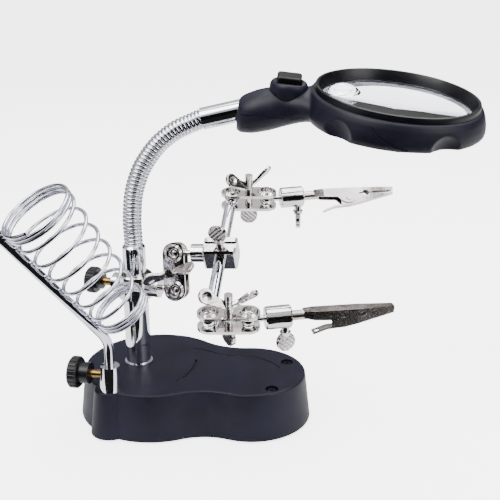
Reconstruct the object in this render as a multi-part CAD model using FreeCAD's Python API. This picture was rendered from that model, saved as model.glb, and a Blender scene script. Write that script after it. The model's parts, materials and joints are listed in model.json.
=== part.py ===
import FreeCAD, Part
import math
import os

# Helping hands: a weighted base with a post, a flexible magnifier arm, a soldering iron
# holder and a jointed crossbar that carries two alligator clips.
# Millimetres. The origin is on the table, under the axis of the post. +X runs along the
# length of the base, +Y to its far side, +Z up. Clips and magnifier point to +X.

V = FreeCAD.Vector
UP = V(0, 0, 1)

# ---- base
BASE_HEIGHT = 30.0
FOOT_HEIGHT = 1.5
WALL = 2.5
DRAFT = 3.4                 # how much wider the foot of the base is, all round
LEFT_LOBE = (11.5, 44.2)    # x of the centre, radius, at the deck
RIGHT_LOBE = (72.0, 33.0)
WAIST_RADIUS = 40.0
COVER_THICKNESS = 2.5
DECK_EDGE = 1.4
BUMP = (V(-6.5, -36.5, 0), 9.0)
GROOVE_RADIUS = 0.8
CELL_RADIUS = 5.2
CELL_LENGTH = 44.0
CELL_PITCH = 10.9
BAY_X = 71.0
BAY_HALF = (17.0, 24.0)
BAY_WALL = 1.2
DOOR_THICKNESS = 1.8
DOOR_GAP = 0.15

# ---- post and collar
POST_RADIUS = 7.65
POST_TOP = 87.0
SLEEVE_RADIUS = 6.95
SLEEVE_TOP = 107.0
COLLAR_Z = 81.5
COLLAR_HEIGHT = 15.5
COLLAR_AZIMUTH = -8.0
RUNNING = 0.1               # radial clearance of a shaft in its hole

# ---- gooseneck and magnifier
ARM_AZIMUTH = 10.0
LINK_LENGTH = 18.8
LINK_BENDS = (1.0, 17.5, 17.0, 20.5, 17.0)
HOSE_RADIUS = 5.7
LINK_GAP = 1.1
LINK_CUP = HOSE_RADIUS - 1.0
LINK_BALL = LINK_CUP - 0.25
LINK_PIN = 3.4
HEAD_TUBE_LENGTH = 22.8
HEAD_TUBE_RADIUS = 6.3
HEAD_AZIMUTH = 6.0
HEAD_PITCH = -6.0
HEAD_ROLL = 9.5
LENS_CENTRE = V(86.5, -4.5, 16.5)    # from the neck, in the head's own axes
LENS_RADIUS = 42.0
FRAME_RADIUS = 50.0

# ---- clamps, crossbar and clips
BALL_RADIUS = 4.25
BALL_SPACING = 22.0
NECK_RADIUS = 1.7
PLATE = (35.0, 13.0, 1.8)
PLATE_GAP = 7.0
BOLT_RADIUS = 2.4
PADDLE = (5.5, 3.0)         # radius and thickness of a thumbscrew's disc
CROSSBAR_RADIUS = 3.5
LOWER_BALL = V(55.6, -43.0, 80.1)
UPPER_BALL = V(51.4, 44.1, 126.5)
BLOCK = (20.0, 15.0, 14.0)
BARREL_START = 9.0
BARREL_LENGTH = 14.7
BARREL_RADIUS = 6.5
SCREW_OFFSET = 4.0          # thumbscrew from the middle of the barrel, towards the clip
CLIP_TILT = 14.0            # how far the clip clamps lean towards the front
CLIP_AZIMUTH = 19.0
SHEET = 0.8                 # sheet metal of the clips
JAW_PIVOT = V(29.0, 0, -4.1)

# ---- soldering iron holder
SOCKET = V(-5.0, -38.0, 0)
SOCKET_KNOB_Z = 39.0
IRON_ROD_RADIUS = 2.85
IRON_AZIMUTH = -137.0
IRON_RISE = 52.0
IRON_BEND_RADIUS = 20.0
IRON_STRAIGHT = 86.0
COIL_WIRE = 1.05
COIL_RADII = (15.0, 19.4)
COIL_LENGTH = 82.0


# ---- helpers
def heading(azimuth, elevation=0.0):
    """Direction at an angle round Z from +X, and an angle above the table."""
    a, e = math.radians(azimuth), math.radians(elevation)
    return V(math.cos(a) * math.cos(e), math.sin(a) * math.cos(e), math.sin(e))


def unit(vector):
    return V(vector) / vector.Length


def axes_at(origin, z_axis, x_hint):
    """Placement with Z along z_axis and X as near to x_hint as that allows."""
    z = unit(z_axis)
    y = unit(z.cross(x_hint))
    x = y.cross(z)
    return FreeCAD.Placement(FreeCAD.Matrix(
        x.x, y.x, z.x, origin.x, x.y, y.y, z.y, origin.y, x.z, y.z, z.z, origin.z, 0, 0, 0, 1))


def placed(shape, place):
    out = shape.copy()
    out.Placement = place.multiply(out.Placement)
    return out


def turned(shape, centre, axis, degrees):
    out = shape.copy()
    out.rotate(centre, axis, degrees)
    return out


def rod(start, end, radius):
    return Part.makeCylinder(radius, (end - start).Length, start, end - start)


def tube(start, end, outer, inner):
    return rod(start, end, outer).cut(rod(start, end, inner))


def block(low, high):
    return Part.makeBox(high.x - low.x, high.y - low.y, high.z - low.z, low)


def ball(centre, radius=BALL_RADIUS):
    return Part.makeSphere(radius, centre)


def prism(points, direction):
    """Solid from a flat polygon, pulled along direction."""
    return Part.Face(Part.makePolygon(points + points[:1])).extrude(direction)


def turning(profile, axis_point=V(0, 0, 0), axis=UP):
    """Solid of revolution of a closed profile of corner points in the XZ plane."""
    return Part.Face(Part.makePolygon(profile + profile[:1])).revolve(axis_point, axis, 360)


def fused(shapes):
    return shapes[0].multiFuse(shapes[1:]).removeSplitter()


def disc_hull(p, p_radius, q, q_radius, thickness):
    """Flat plate in the XZ plane round two discs, with straight tangent sides."""
    along = q - p
    e = unit(along)
    n = V(-e.z, 0, e.x)
    c = (p_radius - q_radius) / along.Length
    s = math.sqrt(1 - c * c)
    high, low = e * c + n * s, e * c - n * s
    edges = [
        Part.Arc(p + high * p_radius, p - e * p_radius, p + low * p_radius).toShape(),
        Part.makeLine(p + low * p_radius, q + low * q_radius),
        Part.Arc(q + low * q_radius, q + e * q_radius, q + high * q_radius).toShape(),
        Part.makeLine(q + high * q_radius, p + high * p_radius),
    ]
    plate = Part.Face(Part.Wire(edges)).extrude(V(0, thickness, 0))
    plate.translate(V(0, -thickness / 2, 0))
    return plate


def sweep(path, radius, start, direction):
    """Round bar of a radius along a path of edges."""
    section = Part.Wire(Part.makeCircle(radius, start, direction))
    return Part.Wire(path).makePipeShell([section], True, True)


# ---- base
def base_outline(grow, z):
    """Closed foot-shaped outline: two lobes with hollow sides between them."""
    (xl, rl), (xr, rr) = LEFT_LOBE, RIGHT_LOBE
    d, a, b = xr - xl, rl + WAIST_RADIUS, rr + WAIST_RADIUS
    along = (d * d + a * a - b * b) / (2 * d)
    waist = V(xl + along, math.sqrt(a * a - along * along), z)
    left, right = V(xl, 0, z), V(xr, 0, z)
    pl = left + unit(waist - left) * (rl + grow)
    pr = right + unit(waist - right) * (rr + grow)
    dip = waist - V(0, WAIST_RADIUS - grow, 0)

    def flip(p):
        return V(p.x, -p.y, p.z)

    edges = [
        Part.Arc(pl, left - V(rl + grow, 0, 0), flip(pl)).toShape(),
        Part.Arc(flip(pl), flip(dip), flip(pr)).toShape(),
        Part.Arc(flip(pr), right + V(rr + grow, 0, 0), pr).toShape(),
        Part.Arc(pr, dip, pl).toShape(),
    ]
    return Part.Wire(edges)


def base_body(grow, low, high):
    """The base's tapering body between two heights."""
    slope = DRAFT / (BASE_HEIGHT - FOOT_HEIGHT)
    wires = [base_outline(grow + slope * (BASE_HEIGHT - z), z) for z in (low, high)]
    return Part.makeLoft(wires, True, True)


def deck_groove(points):
    curve = Part.BSplineCurve()
    curve.interpolate([V(x, y, BASE_HEIGHT + 0.1) for x, y in points])
    edge = curve.toShape()
    start = edge.firstVertex().Point
    return sweep([edge], GROOVE_RADIUS, start, curve.tangent(0)[0])


DECK_SCREWS = (V(92, 15, 0), V(88, -22, 0))
COVER_SCREWS = (V(-24, 0, 0), V(38, -33, 0), V(38, 33, 0), V(101, 0, 0))
FEET = (V(0, 0, 0), V(-16, 25, 0), V(-16, -25, 0), V(46, 25, 0), V(46, -25, 0),
        V(95, 14, 0), V(95, -14, 0))


def base_shell():
    centre, radius = BUMP
    outer = base_body(0, FOOT_HEIGHT, BASE_HEIGHT)
    bump = Part.makeCone(radius + DRAFT, radius, BASE_HEIGHT - FOOT_HEIGHT,
                         centre + V(0, 0, FOOT_HEIGHT))
    outer = outer.fuse(bump).removeSplitter()
    rim = [e for e in outer.Edges
           if all(abs(v.Z - BASE_HEIGHT) < 1e-6 for v in e.Vertexes)]
    outer = outer.makeFillet(DECK_EDGE, rim)
    inner = base_body(-WALL, FOOT_HEIGHT, BASE_HEIGHT - WALL)
    shell = outer.cut(inner)
    pillars = ((FOOT_HEIGHT + COVER_THICKNESS + 0.05, COVER_SCREWS), (19, DECK_SCREWS))
    posts = [rod(p + V(0, 0, low), p + V(0, 0, BASE_HEIGHT - 1.5), 3.6)
             for low, screws in pillars for p in screws]
    pads = [rod(SOCKET + V(0, 0, 16), SOCKET + V(0, 0, BASE_HEIGHT - 1), 8.0),
            rod(V(0, 0, 16), V(0, 0, BASE_HEIGHT - 1), 14.0)]
    inside = base_body(-WALL / 2, FOOT_HEIGHT, BASE_HEIGHT)
    shell = fused([shell] + [p.common(inside) for p in posts + pads])
    holes = [rod(p + V(0, 0, 22), p + V(0, 0, 40), 1.6) for p in DECK_SCREWS]
    holes += [rod(p + V(0, 0, BASE_HEIGHT - 2.4), p + V(0, 0, 40), 3.9) for p in DECK_SCREWS]
    holes += [rod(p, p + V(0, 0, 14), 1.6) for p in COVER_SCREWS]
    holes += [rod(V(0, 0, 0), V(0, 0, 40), POST_RADIUS), rod(V(0, 0, 0), V(0, 0, 22), 12.7),
              rod(SOCKET, SOCKET + V(0, 0, 40), 5.0)]
    grooves = [
        deck_groove([(28.4, 21.2), (31.3, 23.3), (36, 23.3), (48.4, 18.6), (60.5, 17.7),
                     (70.9, 18.0), (77.8, 15.5), (85.1, 10.2), (89, 4.5)]),
        deck_groove([(35, 8.0), (36.1, -0.6), (35.3, -9.2), (33.5, -17), (30.1, -22.3)]),
    ]
    return shell.cut(Part.makeCompound(holes)).cut(grooves[0]).cut(grooves[1])


def base_bottom_cover():
    top = FOOT_HEIGHT + COVER_THICKNESS
    plate = base_body(-WALL - 0.1, FOOT_HEIGHT, top)
    hx, hy = BAY_HALF
    roof = top + 2 * CELL_RADIUS + 1.5
    tray = block(V(BAY_X - hx - BAY_WALL, -hy - BAY_WALL, top - 0.5),
                 V(BAY_X + hx + BAY_WALL, hy + BAY_WALL, roof + BAY_WALL))
    bay = block(V(BAY_X - hx, -hy, 0), V(BAY_X + hx, hy, roof))
    holes = [rod(p, p + V(0, 0, 10), 1.7) for p in COVER_SCREWS]
    holes += [rod(p, p + V(0, 0, FOOT_HEIGHT + 1.2), 3.1) for p in COVER_SCREWS]
    holes += [rod(p, p + V(0, 0, FOOT_HEIGHT + 0.8), 5.0) for p in FEET]
    return plate.fuse(tray).cut(bay).cut(Part.makeCompound(holes))


def battery_door():
    """Door of the battery bay: a rounded hinge edge, and a finger notch near the free edge."""
    hx, hy = BAY_HALF[0] - DOOR_GAP, BAY_HALF[1] - DOOR_GAP
    edge = DOOR_THICKNESS / 2
    hinge = V(BAY_X - hx + edge, 0, FOOT_HEIGHT + edge)
    door = block(V(hinge.x, -hy, FOOT_HEIGHT), V(BAY_X + hx, hy, FOOT_HEIGHT + DOOR_THICKNESS))
    roll = rod(hinge - V(0, hy, 0), hinge + V(0, hy, 0), edge)
    notch = rod(V(BAY_X + hx - 5, -6, 0.5), V(BAY_X + hx - 5, 6, 0.5), 1.8)
    return fused([door, roll]).cut(notch)


def ballast_plate():
    plate = rod(V(10, 0, 4.2), V(10, 0, 13.2), 37.0)
    clear = [rod(V(0, 0, 0), V(0, 0, 20), 13.0), rod(SOCKET, SOCKET + V(0, 0, 20), 9.5),
             block(V(-50, -50, 0), V(-20, 50, 20)), block(V(38.5, -50, 0), V(60, 50, 20))]
    return plate.cut(Part.makeCompound(clear))


def battery_cells():
    z = FOOT_HEIGHT + DOOR_THICKNESS + CELL_RADIUS + 0.5
    cells = []
    for n in (-1, 0, 1):
        x, way = BAY_X + n * CELL_PITCH, (-1) ** n
        a, b = V(x, -way * CELL_LENGTH / 2, z), V(x, way * CELL_LENGTH / 2, z)
        tip = b + unit(b - a) * 0.9
        cells.append(fused([rod(a, b, CELL_RADIUS), rod(b, tip, 1.9)]))
    return Part.makeCompound(cells)


def battery_contacts():
    z = FOOT_HEIGHT + DOOR_THICKNESS + CELL_RADIUS + 0.5
    strips = []
    for side in (-1, 1):
        for n in (-1, 0, 1):
            x, y = BAY_X + n * CELL_PITCH, side * (BAY_HALF[1] - 0.45)
            strips.append(block(V(x - 4, y - 0.4, z - 4), V(x + 4, y + 0.4, z + 4)))
    return Part.makeCompound(strips)


def rubber_feet():
    foot = turning([V(0, 0, 0), V(4.2, 0, 0), V(4.9, 0, 0.8), V(4.9, 0, 2.2), V(0, 0, 2.2)])
    return Part.makeCompound([placed(foot, FreeCAD.Placement(p, FreeCAD.Rotation())) for p in FEET])


def cross_screw(head_radius, length):
    """Pan-head screw with its head's top at z 0 and its shank below."""
    head = Part.makeCone(head_radius, head_radius * 0.72, 1.5, V(0, 0, -1.5))
    shank = rod(V(0, 0, -1.5 - length), V(0, 0, -1.5), 1.5)
    slots = [block(V(-2, -0.4, -0.9), V(2, 0.4, 1)), block(V(-0.4, -2, -0.9), V(0.4, 2, 1))]
    return head.fuse(shank).cut(Part.makeCompound(slots)).removeSplitter()


def deck_screws():
    screw = cross_screw(3.4, 4.5)
    z = V(0, 0, BASE_HEIGHT - 0.85)
    return Part.makeCompound([placed(screw, FreeCAD.Placement(p + z, FreeCAD.Rotation()))
                              for p in DECK_SCREWS])


def cover_screws():
    screw = cross_screw(2.9, 7.0)
    down = FreeCAD.Rotation(V(1, 0, 0), 180)
    z = V(0, 0, FOOT_HEIGHT - 0.35)
    return Part.makeCompound([placed(screw, FreeCAD.Placement(p + z, down))
                              for p in COVER_SCREWS])


# ---- post
def post_tube():
    """Chrome tube with a rolled foot flange."""
    pipe = tube(V(0, 0, 12), V(0, 0, POST_TOP), POST_RADIUS - 0.02, POST_RADIUS - 1.2)
    flange = tube(V(0, 0, BASE_HEIGHT), V(0, 0, BASE_HEIGHT + 1.3), POST_RADIUS + 1.1,
                  POST_RADIUS - 1.2)
    return fused([pipe, flange])


def post_nut():
    """Hexagon nut under the deck that holds the post."""
    nut = prism([heading(60 * n) * 12.3 + V(0, 0, 16) - V(0, 0, 6.1) for n in range(6)], V(0, 0, 6))
    return nut.cut(rod(V(0, 0, 0), V(0, 0, 40), POST_RADIUS + RUNNING))


def gooseneck_sleeve():
    """Reducing sleeve between the post and the flexible arm."""
    r = SLEEVE_RADIUS
    profile = [V(0, 0, POST_TOP - 12), V(POST_RADIUS - 1.25, 0, POST_TOP - 12),
               V(POST_RADIUS - 1.25, 0, POST_TOP), V(POST_RADIUS, 0, POST_TOP),
               V(POST_RADIUS, 0, POST_TOP + 1.2), V(r, 0, POST_TOP + 2.4),
               V(r, 0, SLEEVE_TOP - 1.0), V(r - 0.8, 0, SLEEVE_TOP), V(0, 0, SLEEVE_TOP)]
    socket = ball(V(0, 0, SLEEVE_TOP), LINK_CUP)
    return turning(profile).cut(socket)


# ---- collar on the post
COLLAR_DIR = heading(COLLAR_AZIMUTH)
COLLAR_MID = V(0, 0, COLLAR_Z)
COLLAR_REACH = 27.6
BALL_A1 = COLLAR_MID + COLLAR_DIR * COLLAR_REACH
COLLAR_STUD_START = 16.8


def post_collar():
    half = COLLAR_HEIGHT / 2
    ring = rod(V(0, 0, COLLAR_Z - half), V(0, 0, COLLAR_Z + half), 10.6)
    barrel = rod(COLLAR_MID - COLLAR_DIR * 14, COLLAR_MID + COLLAR_DIR * COLLAR_STUD_START, 6.2)
    body = ring.makeChamfer(0.8, ring.Edges).fuse(barrel).removeSplitter()
    bore = rod(V(0, 0, 40), V(0, 0, 120), POST_RADIUS + RUNNING)
    stud_hole = rod(COLLAR_MID - COLLAR_DIR * 20, COLLAR_MID, 2.55)
    ball_hole = rod(COLLAR_MID + COLLAR_DIR * 10, COLLAR_MID + COLLAR_DIR * 20, 2.5)
    return body.cut(bore).cut(stud_hole).cut(ball_hole)


def ball_stud(centre, toward, neck_end, root_end, root_radius):
    """Ball with a thin neck, and a thicker shank where it is fixed in its holder."""
    neck = rod(centre, centre + toward * neck_end, NECK_RADIUS)
    root = rod(centre + toward * neck_end, centre + toward * root_end, root_radius)
    return fused([ball(centre), neck, root])


def collar_ball_stud():
    return ball_stud(BALL_A1, COLLAR_DIR * -1, COLLAR_REACH - COLLAR_STUD_START,
                     COLLAR_REACH - 10.8, 2.5)


def knurled_knob(radius, thickness, hub_radius, hub_length, place):
    """Round knob along +Z with a plain hub below a knurled disc, and a blind hole."""
    hub = rod(V(0, 0, 0), V(0, 0, hub_length), hub_radius)
    disc = rod(V(0, 0, hub_length), V(0, 0, hub_length + thickness), radius)
    disc = disc.makeChamfer(0.9, disc.Edges)
    teeth = [rod(heading(15 * n) * (radius + 0.35) + V(0, 0, hub_length - 1),
                 heading(15 * n) * (radius + 0.35) + V(0, 0, hub_length + thickness + 1), 0.8)
             for n in range(24)]
    body = hub.fuse(disc).cut(Part.makeCompound(teeth))
    dish = Part.makeCone(radius * 0.55, radius * 0.65, 0.8,
                         V(0, 0, hub_length + thickness - 0.8))
    return placed(body.cut(dish).cut(rod(V(0, 0, -1), V(0, 0, hub_length), 2.5)), place)


COLLAR_KNOB_AT = axes_at(COLLAR_MID - COLLAR_DIR * 22, COLLAR_DIR * -1, UP)


def collar_knob():
    return knurled_knob(8.2, 6.0, 5.2, 3.5, COLLAR_KNOB_AT)


def collar_knob_stud():
    tip = COLLAR_MID - COLLAR_DIR * (POST_RADIUS + 0.1)
    return rod(tip, COLLAR_MID - COLLAR_DIR * 25.4, 2.5 - 0.03)


# ---- soldering iron socket and holder
def iron_socket():
    cone = Part.makeCone(6.6, 5.5, 15.0, SOCKET + V(0, 0, BASE_HEIGHT))
    shank = rod(SOCKET + V(0, 0, 18), SOCKET + V(0, 0, BASE_HEIGHT), 4.98)
    bore = rod(SOCKET + V(0, 0, 21), SOCKET + V(0, 0, 60), IRON_ROD_RADIUS + RUNNING)
    cross = rod(SOCKET + V(-20, 0, SOCKET_KNOB_Z), SOCKET + V(0, 0, SOCKET_KNOB_Z), 2.55)
    notch = block(SOCKET + V(-8, -1.2, 42.5), SOCKET + V(0, 1.2, 50))
    return fused([cone, shank]).cut(bore).cut(cross).cut(notch)


SOCKET_KNOB_AT = axes_at(SOCKET + V(-12.2, 0, SOCKET_KNOB_Z), V(-1, 0, 0), UP)


def socket_knob():
    return knurled_knob(9.4, 5.8, 6.3, 6.0, SOCKET_KNOB_AT)


def socket_knob_stud():
    tip = SOCKET + V(-IRON_ROD_RADIUS - 0.1, 0, SOCKET_KNOB_Z)
    return rod(tip, SOCKET + V(-18.1, 0, SOCKET_KNOB_Z), 2.5 - 0.03)


IRON_DIR = heading(IRON_AZIMUTH, IRON_RISE)
IRON_BEND_START = SOCKET + V(0, 0, 54)


def iron_bend():
    """Three points of the rod's bend, and its end."""
    side = unit(V(IRON_DIR.x, IRON_DIR.y, 0))
    angle = math.acos(IRON_DIR.z)
    centre = IRON_BEND_START + side * IRON_BEND_RADIUS
    return [centre + (UP * math.sin(t) - side * math.cos(t)) * IRON_BEND_RADIUS
            for t in (0, angle / 2, angle)]


IRON_ARC = iron_bend()
IRON_END = IRON_ARC[2] + IRON_DIR * IRON_STRAIGHT
COIL_LEAN = heading(ARM_AZIMUTH) * 0.67 + UP * 0.72     # from the rod towards the coil
COIL_SIDE = unit(COIL_LEAN - IRON_DIR * COIL_LEAN.dot(IRON_DIR))


def iron_holder_rod():
    foot = SOCKET + V(0, 0, 22)
    path = [Part.makeLine(foot, IRON_ARC[0]), Part.Arc(*IRON_ARC).toShape(),
            Part.makeLine(IRON_ARC[2], IRON_END)]
    return sweep(path, IRON_ROD_RADIUS, foot, UP)


def coil_ends():
    """Centres of the coil's small end and of its mouth."""
    seat = IRON_ROD_RADIUS + COIL_WIRE
    small = IRON_END - IRON_DIR * (COIL_LENGTH + 1) + COIL_SIDE * (seat + COIL_RADII[0])
    mouth = IRON_END - IRON_DIR * 1 + COIL_SIDE * (seat + COIL_RADII[1])
    return small, mouth


CLOSE_TURNS = 2.6
OPEN_TURNS = 6.0


def coil_height(turn):
    """How far along the coil a turn lies: close turns, open turns, close turns."""
    close = 2 * COIL_WIRE + 0.25
    total = 2 * CLOSE_TURNS + OPEN_TURNS
    pitch = (COIL_LENGTH - 2 * CLOSE_TURNS * close) / OPEN_TURNS
    if turn < CLOSE_TURNS:
        return turn * close
    if turn > total - CLOSE_TURNS:
        return COIL_LENGTH - (total - turn) * close
    return CLOSE_TURNS * close + (turn - CLOSE_TURNS) * pitch


def iron_holder_coil():
    small, mouth = coil_ends()
    place = axes_at(small, mouth - small, COIL_SIDE * -1)
    total = 2 * CLOSE_TURNS + OPEN_TURNS
    steps = int(total * 14)
    points = []
    for n in range(steps + 1):
        turn = total * n / steps
        z = coil_height(turn)
        r = COIL_RADII[0] + (COIL_RADII[1] - COIL_RADII[0]) * z / COIL_LENGTH
        points.append(heading(360 * turn) * r + V(0, 0, z))
    curve = Part.BSplineCurve()
    curve.interpolate(points)
    wire = sweep([curve.toShape()], COIL_WIRE, points[0], curve.tangent(0)[0])
    return placed(wire, place)


# ---- gooseneck
ARM_DIR = heading(ARM_AZIMUTH)
BEND_AXIS = UP.cross(ARM_DIR)


def gooseneck_joints():
    """Start point and rising angle of each link, and of the tube after the last."""
    point, angle = V(0, 0, SLEEVE_TOP), 90.5
    out = [(point, angle)]
    for bend in LINK_BENDS:
        steps = 8
        for _ in range(steps):
            angle -= bend / steps / 2
            point = point + heading_in_arm(angle) * (LINK_LENGTH / steps)
            angle -= bend / steps / 2
        out.append((point, angle))
    return out


def heading_in_arm(angle):
    a = math.radians(angle)
    return ARM_DIR * math.cos(a) + UP * math.sin(a)


GOOSENECK = gooseneck_joints()


def gooseneck_link(n):
    """Flexible hose from one bend point to the next: a ball at its foot, a cup at its top."""
    (start, low), (end, high) = GOOSENECK[n], GOOSENECK[n + 1]
    foot, top = heading_in_arm(low), heading_in_arm(high)
    trim = LINK_GAP / 2
    a, b = start + foot * trim, end - top * trim
    chord = end - start
    sag = chord.Length / 2 * math.tan(math.radians(LINK_BENDS[n]) / 4)
    middle = (start + end) / 2 - unit(BEND_AXIS.cross(chord)) * sag
    hose = sweep([Part.Arc(a, middle, b).toShape()], HOSE_RADIUS, a, foot)
    pin = fused([ball(start, LINK_BALL), rod(start, a + foot, LINK_PIN)])
    return hose.cut(ball(end, LINK_CUP)).fuse(pin).removeSplitter()


# ---- magnifier head
NECK, NECK_ANGLE = GOOSENECK[-1]
TUBE_DIR = heading_in_arm(NECK_ANGLE - 5.0)
HEAD_AT = NECK + TUBE_DIR * HEAD_TUBE_LENGTH
HEAD_X = heading(HEAD_AZIMUTH, HEAD_PITCH)
HEAD_FLAT = unit(UP.cross(HEAD_X))
HEAD_Z = HEAD_X.cross(HEAD_FLAT)
HEAD_TURN = FreeCAD.Rotation(HEAD_X, HEAD_ROLL)
HEAD_UP = HEAD_TURN.multVec(HEAD_Z)
HEAD_PLACE = axes_at(HEAD_AT, HEAD_UP, HEAD_X)
HEAD_PLACE = HEAD_PLACE.multiply(FreeCAD.Placement(LENS_CENTRE, FreeCAD.Rotation()))


def head_tube():
    start = NECK + TUBE_DIR * 0.9
    body = rod(start, HEAD_AT + TUBE_DIR * 5, HEAD_TUBE_RADIUS)
    pin = fused([ball(NECK, LINK_BALL), rod(NECK, start + TUBE_DIR, LINK_PIN)])
    slot = rod(NECK + TUBE_DIR * 15 + HEAD_UP * -9, NECK + TUBE_DIR * 15 + HEAD_UP * -4.5, 1.6)
    return fused([body, pin]).cut(slot)


def section(x, z, half_width, half_height, power=2.6):
    """Rounded rectangular section of the handle, across its length."""
    points = []
    for n in range(16):
        a = 2 * math.pi * (n + 0.5) / 16
        c, s = math.cos(a), math.sin(a)
        points.append(V(x, half_width * math.copysign(abs(c) ** (2 / power), c),
                        z + half_height * math.copysign(abs(s) ** (2 / power), s)))
    curve = Part.BSplineCurve()
    curve.interpolate(points, PeriodicFlag=True)
    return Part.Wire(curve.toShape())


HANDLE = ((-86.5, -16.2, 8.6, 9.0), (-81.5, -15.0, 11.5, 11.0), (-70, -11.6, 12.5, 12.0),
          (-58, -8.4, 12.0, 10.4), (-48, -6.4, 17.0, 9.0), (-38, -6.0, 26.0, 8.0))
SCALLOPS = (-150, -114, -66, -22, 22, 66, 114, 150)


def head_body():
    """Handle and lens frame as one solid, in the lens's own axes."""
    handle = Part.makeLoft([section(*s) for s in HANDLE], True)
    ring = turning([V(40.5, 0, 0.5), V(46, 0, 0.5), V(48.6, 0, -1.2), V(50.2, 0, -5),
                    V(FRAME_RADIUS + 0.6, 0, -8), V(FRAME_RADIUS - 0.6, 0, -10.8),
                    V(47, 0, -12.4), V(40.5, 0, -12.6)])
    body = handle.fuse(ring)
    body = body.cut(rod(V(0, 0, -40), V(0, 0, 30), 40.5))
    body = body.cut(rod(V(0, 0, 0.5), V(0, 0, 30), LENS_RADIUS + 3.9))
    dents = [ball(heading(a) * 61.8 + V(0, 0, -12.5), 14.0) for a in SCALLOPS]
    return body.cut(Part.makeCompound(dents)).cut(lens_seat())


def lens_seat():
    return rod(V(0, 0, -2.6), V(0, 0, 10), LENS_RADIUS + 0.1)


SEAM = -6.5


def head_shell(top):
    body = head_body()
    low, high = (SEAM, 40) if top else (-60, SEAM)
    half = block(V(-120, -80, low), V(80, 80, high))
    cavity = block(V(-78, -6, SEAM - 9), V(-56, 6, SEAM + 1))
    tube_hole = placed(rod(HEAD_AT - TUBE_DIR * 10, HEAD_AT + TUBE_DIR * 5.02, HEAD_TUBE_RADIUS),
                       HEAD_PLACE.inverse())
    shell = body.common(half).cut(cavity).cut(tube_hole)
    if top:
        well = rounded_box(7.1, 7.1, 0.9, 20, 2.1)
        well.translate(BUTTON)
        shell = shell.cut(well).cut(rod(BUTTON - V(0, 0, 12), BUTTON + V(0, 0, 2), 5.2))
    return placed(shell, HEAD_PLACE)


BUTTON = V(-60.0, 0, -0.5)


def lens_rim():
    """Raised ring that holds the lens in the frame."""
    ring = turning([V(LENS_RADIUS - 1.2, 0, 1.6), V(LENS_RADIUS - 1.2, 0, 3.4),
                    V(LENS_RADIUS - 0.4, 0, 6.6), V(LENS_RADIUS + 1.2, 0, 7.0),
                    V(LENS_RADIUS + 2.8, 0, 5.6), V(LENS_RADIUS + 3.6, 0, 0.52),
                    V(LENS_RADIUS + 0.12, 0, 0.52), V(LENS_RADIUS + 0.12, 0, 1.6)])
    return placed(ring, HEAD_PLACE)


def lens_blank():
    """Double convex lens: a disc between two shallow spheres."""
    top, bottom, sag = 3.6, -4.6, 2.4
    curve = (LENS_RADIUS ** 2 + sag ** 2) / (2 * sag)
    disc = rod(V(0, 0, bottom), V(0, 0, top), LENS_RADIUS)
    return disc.common(ball(V(0, 0, top - curve), curve)).common(ball(V(0, 0, bottom + curve), curve))


def main_lens():
    return placed(lens_blank(), HEAD_PLACE)


def inset_lens():
    bead = ball(V(-29, 0, -6.0), 13.0).common(rod(V(-29, 0, 0), V(-29, 0, 20), 9.0))
    return placed(bead.cut(lens_blank()), HEAD_PLACE)


def led_lamps():
    lamps = []
    for side in (-1, 1):
        base = V(side * 39.2, 0, -5.8)
        tip = V(side * 36.5, 0, -7.4)
        lamps.append(placed(fused([rod(base, tip, 2.5), ball(tip, 2.5)]), HEAD_PLACE))
    return Part.makeCompound(lamps)


def rounded_box(half_x, half_y, low, high, corner):
    box = block(V(-half_x, -half_y, low), V(half_x, half_y, high))
    upright = [e for e in box.Edges if abs(e.Vertexes[0].Z - e.Vertexes[1].Z) > 1e-6]
    return box.makeFillet(corner, upright)


BUTTON_TRAVEL = 2.0


def switch_bezel():
    """Domed base round the push button."""
    r = 10.6
    dome = turning([V(0, 0, -3), V(r + 0.4, 0, -3), V(r + 0.4, 0, 0.6), V(r, 0, 3.0),
                    V(r - 1.6, 0, 4.6), V(0, 0, 4.6)])
    well = rounded_box(7.1, 7.1, 1.0, 20, 2.1)
    stem = rod(V(0, 0, -10), V(0, 0, 10), 3.0)
    dome = dome.cut(well).cut(stem)
    dome.translate(BUTTON)
    return placed(dome.cut(head_body()), HEAD_PLACE)


def switch_button():
    cap = rounded_box(6.9, 6.9, 1.0 + BUTTON_TRAVEL + 0.2, 9.0, 2.0)
    rim = [e for e in cap.Edges if all(abs(v.Z - 9.0) < 1e-6 for v in e.Vertexes)]
    cap = cap.makeFillet(1.2, rim)
    button = fused([cap, rod(V(0, 0, -4), V(0, 0, 5), 2.8)])
    button.translate(BUTTON)
    return placed(button, HEAD_PLACE)


# ---- clamps
def clamp_axes(ball_at, along, normal_hint):
    """Axes of a clamp: origin midway between its balls, X to the second ball, Z the bolt."""
    x = unit(along)
    z = unit(normal_hint - x * normal_hint.dot(x))
    return axes_at(ball_at + x * BALL_SPACING / 2, z, x)


def clamp_plate():
    """Stadium-shaped plate with dished ends, lying on the gap's upper side."""
    length, width, thick = PLATE
    reach = (length - width) / 2
    low = PLATE_GAP / 2
    plate = disc_hull(V(-reach, 0, 0), width / 2, V(reach, 0, 0), width / 2, thick)
    plate = placed(plate, FreeCAD.Placement(V(0, 0, low + thick / 2), FreeCAD.Rotation(V(1, 0, 0), 90)))
    top = low + thick
    seats = (-BALL_SPACING / 2, BALL_SPACING / 2)
    rims = [Part.makeCone(5.6, 4.4, 1.2, V(x, 0, top)) for x in seats]
    holes = [Part.makeCone(2.8, 3.9, 4.0, V(x, 0, low - 0.01)) for x in seats]
    holes.append(rod(V(0, 0, 0), V(0, 0, 20), BOLT_RADIUS + 0.15))
    return fused([plate] + rims).cut(Part.makeCompound(holes))


def clamp_plates(place):
    upper = clamp_plate()
    lower = turned(upper, V(0, 0, 0), V(1, 0, 0), 180)
    return placed(Part.makeCompound([upper, lower]), place)


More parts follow.
